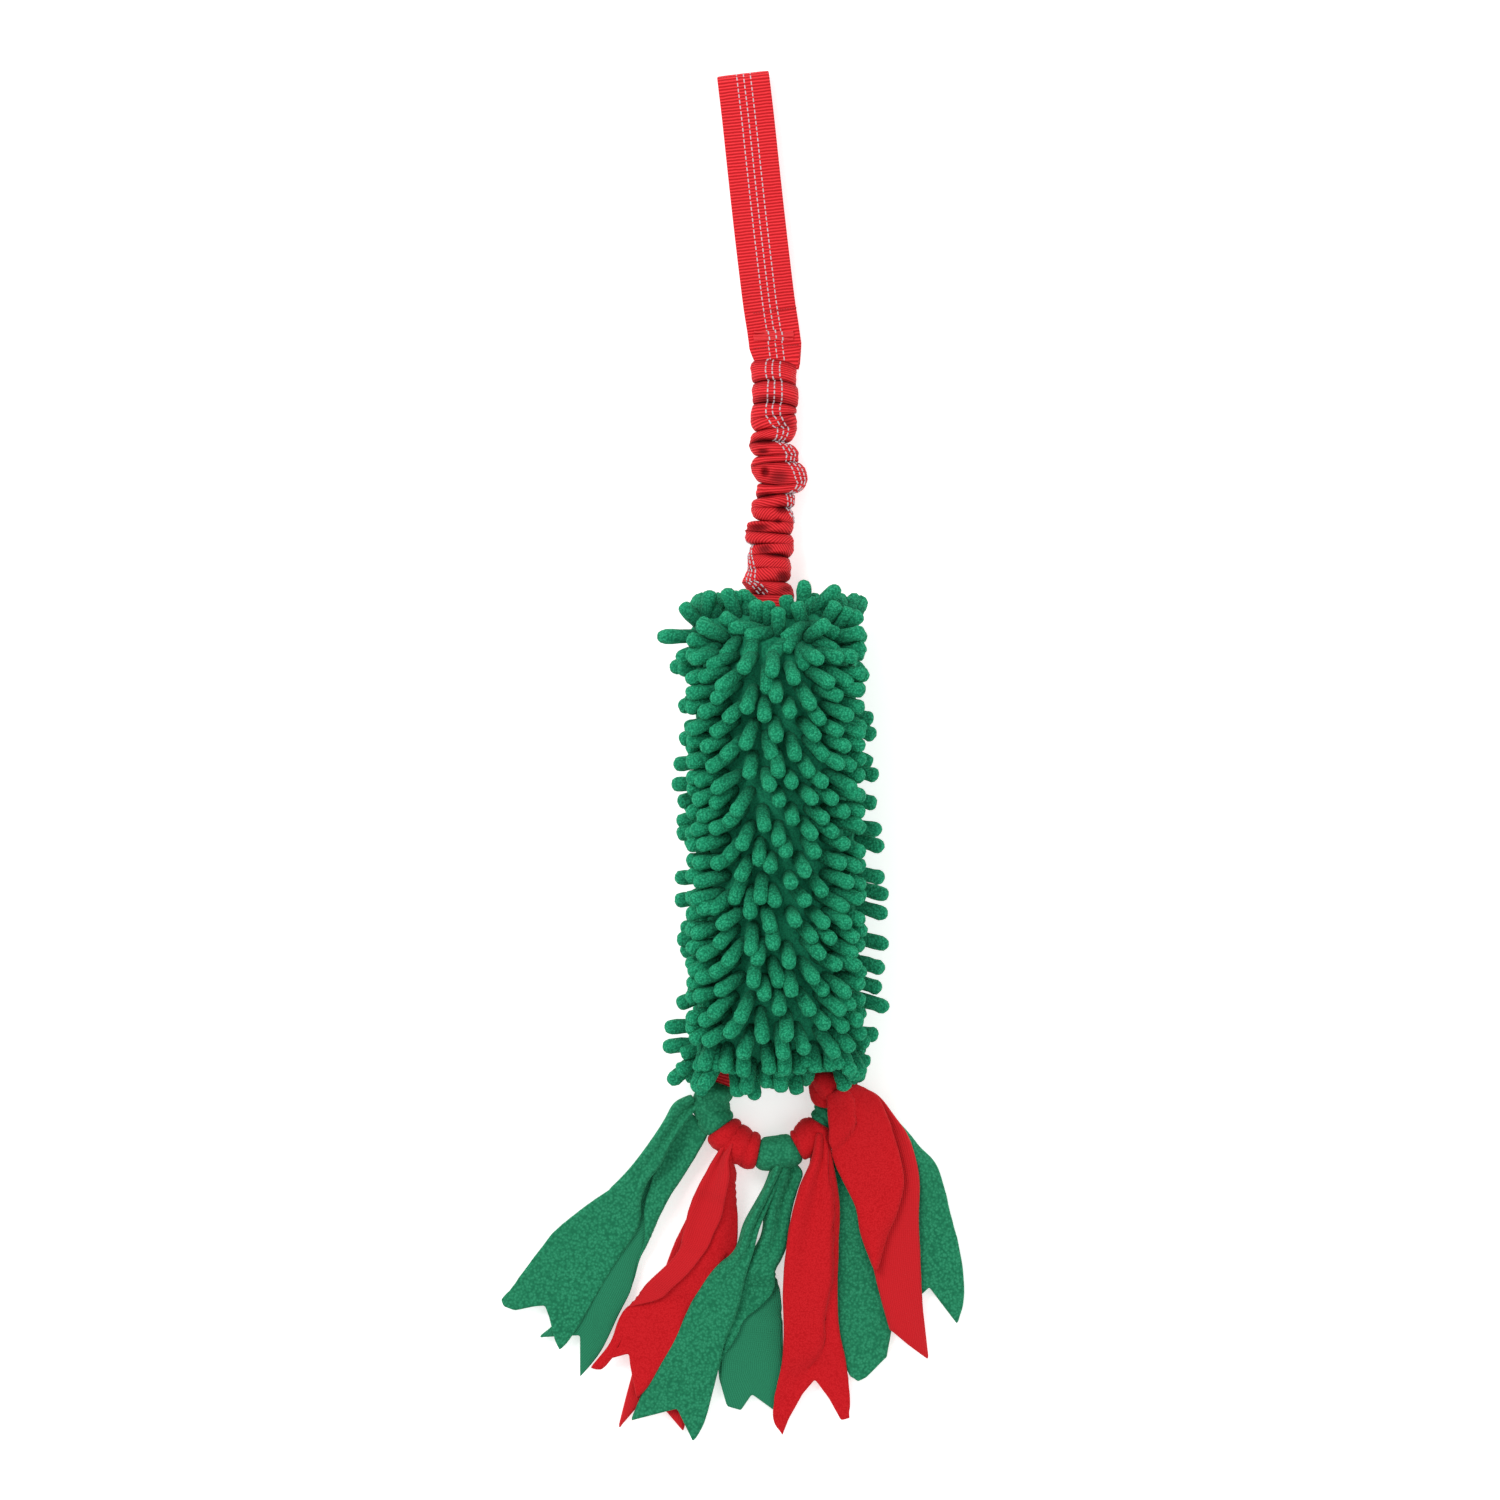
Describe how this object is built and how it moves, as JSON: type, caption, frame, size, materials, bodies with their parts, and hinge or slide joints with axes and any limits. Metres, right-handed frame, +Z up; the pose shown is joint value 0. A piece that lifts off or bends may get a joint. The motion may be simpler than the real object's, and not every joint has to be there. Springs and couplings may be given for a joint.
{
  "type": "bungee tug toy",
  "caption": "Dog tug toy with a webbing hand loop, a gathered bungee sleeve, a stuffed chenille noodle body and a fringe of knotted fleece tails on a webbing ring.",
  "frame": {"origin": "centre of the toy's outline on the surface that it lies on", "axes": "+Y from the tails to the hand loop, +X to the right as seen from above, +Z up from the surface"},
  "size_m": [0.2262, 0.6779, 0.0768],
  "materials": {
    "red_webbing": "ribbed grosgrain webbing with grey tracer threads",
    "elastic": "smooth covered elastic",
    "green_chenille": "short pile chenille",
    "stuffing": "loose polyester filling",
    "thread": "close rows of sewing thread",
    "green_fleece": "napped fleece",
    "red_fleece": "napped fleece"
  },
  "bodies": {
    "mop_body": {"noodle_cover_1": "green_chenille", "noodle_cover_2": "green_chenille", "noodle_cover_3": "green_chenille", "noodle_cover_4": "green_chenille", "noodle_cover_5": "green_chenille", "noodle_cover_6": "green_chenille", "noodle_cover_7": "green_chenille", "noodle_cover_8": "green_chenille", "stuffing_core": "stuffing", "spine_strap": "red_webbing", "top_hem": "green_fleece", "bottom_hem": "green_fleece", "sleeve_lower_tack": "red_webbing"},
    "bungee": {"bungee_sleeve": "red_webbing", "bungee_elastic": "elastic"},
    "grip_end": {"sleeve_upper_tack": "red_webbing"},
    "handle": {"handle_strap": "red_webbing", "handle_bar_tack": "thread"},
    "tail_ring": {"tail_loop": "red_webbing", "knot_1": "green_fleece", "knot_2": "red_fleece", "knot_3": "green_fleece", "knot_4": "red_fleece", "knot_5": "green_fleece", "knot_6": "red_fleece"},
    "tail_1a_strip": {"tail_1a": "green_fleece"},
    "tail_1b_strip": {"tail_1b": "green_fleece"},
    "tail_2a_strip": {"tail_2a": "red_fleece"},
    "tail_2b_strip": {"tail_2b": "red_fleece"},
    "tail_3a_strip": {"tail_3a": "green_fleece"},
    "tail_3b_strip": {"tail_3b": "green_fleece"},
    "tail_4a_strip": {"tail_4a": "red_fleece"},
    "tail_4b_strip": {"tail_4b": "red_fleece"},
    "tail_5a_strip": {"tail_5a": "green_fleece"},
    "tail_5b_strip": {"tail_5b": "green_fleece"},
    "tail_6a_strip": {"tail_6a": "red_fleece"},
    "tail_6b_strip": {"tail_6b": "red_fleece"}
  },
  "joints": [
    {"name": "bungee_swing", "type": "hinge", "parent": "mop_body", "child": "bungee", "pos_m": [0.0217, 0.0715, 0.018], "axis": [1, 0, 0], "range_deg": [-60, 90]},
    {"name": "bungee_stretch", "type": "slide", "parent": "bungee", "child": "grip_end", "axis": [0, 1, 0], "range_m": [0, 0.08], "stiffness_N_per_m": 150, "deforming": ["bungee_sleeve", "bungee_elastic"]},
    {"name": "handle_fold", "type": "hinge", "parent": "grip_end", "child": "handle", "pos_m": [0.0217, 0.1986, 0.003], "axis": [0.9938, 0.1115, 0], "range_deg": [0, 90]},
    {"name": "tail_ring_swing", "type": "hinge", "parent": "mop_body", "child": "tail_ring", "pos_m": [0.0217, -0.1565, 0.018], "axis": [-1, 0, 0], "range_deg": [-25, 25], "deforming": ["tail_loop"]},
    {"name": "tail_1a_lift", "type": "hinge", "parent": "tail_ring", "child": "tail_1a_strip", "pos_m": [-0.02074, -0.16972, 0.0112], "axis": [-0.8141, 0.5807, 0], "range_deg": [0, 50]},
    {"name": "tail_1b_lift", "type": "hinge", "parent": "tail_ring", "child": "tail_1b_strip", "pos_m": [-0.01759, -0.17936, 0], "axis": [-0.859, 0.512, 0], "range_deg": [-60, 0]},
    {"name": "tail_2a_lift", "type": "hinge", "parent": "tail_ring", "child": "tail_2a_strip", "pos_m": [-0.01277, -0.18916, 0.0112], "axis": [-0.9164, 0.4003, 0], "range_deg": [0, 50]},
    {"name": "tail_2b_lift", "type": "hinge", "parent": "tail_ring", "child": "tail_2b_strip", "pos_m": [-0.00727, -0.19454, 0], "axis": [-0.9703, 0.2419, 0], "range_deg": [-60, 0]},
    {"name": "tail_3a_lift", "type": "hinge", "parent": "tail_ring", "child": "tail_3a_strip", "pos_m": [0.01662, -0.20521, 0.0112], "axis": [-0.9107, 0.4131, 0], "range_deg": [0, 50]},
    {"name": "tail_3b_lift", "type": "hinge", "parent": "tail_ring", "child": "tail_3b_strip", "pos_m": [0.02256, -0.2043, 0], "axis": [-0.9882, 0.153, 0], "range_deg": [-60, 0]},
    {"name": "tail_4a_lift", "type": "hinge", "parent": "tail_ring", "child": "tail_4a_strip", "pos_m": [0.04126, -0.1987, 0.0112], "axis": [-0.9999, 0.0105, 0], "range_deg": [0, 50]},
    {"name": "tail_4b_lift", "type": "hinge", "parent": "tail_ring", "child": "tail_4b_strip", "pos_m": [0.03697, -0.20041, 0], "axis": [-0.9994, 0.0349, 0], "range_deg": [-60, 0]},
    {"name": "tail_5a_lift", "type": "hinge", "parent": "tail_ring", "child": "tail_5a_strip", "pos_m": [0.04597, -0.18933, 0], "axis": [-0.9845, -0.1754, 0], "range_deg": [-60, 0]},
    {"name": "tail_5b_lift", "type": "hinge", "parent": "tail_ring", "child": "tail_5b_strip", "pos_m": [0.04963, -0.18346, 0], "axis": [-0.8854, -0.4648, 0], "range_deg": [-60, 0]},
    {"name": "tail_6a_lift", "type": "hinge", "parent": "tail_ring", "child": "tail_6a_strip", "pos_m": [0.04792, -0.1724, 0.0219], "axis": [-0.9681, -0.2504, 0], "range_deg": [0, 50]},
    {"name": "tail_6b_lift", "type": "hinge", "parent": "tail_ring", "child": "tail_6b_strip", "pos_m": [0.05665, -0.17491, 0.0112], "axis": [-0.969, -0.247, 0], "range_deg": [0, 50]}
  ],
  "couplings": [
    {"joint": "tail_6a_lift", "follows": "tail_6b_lift", "ratio": 1}
  ]
}
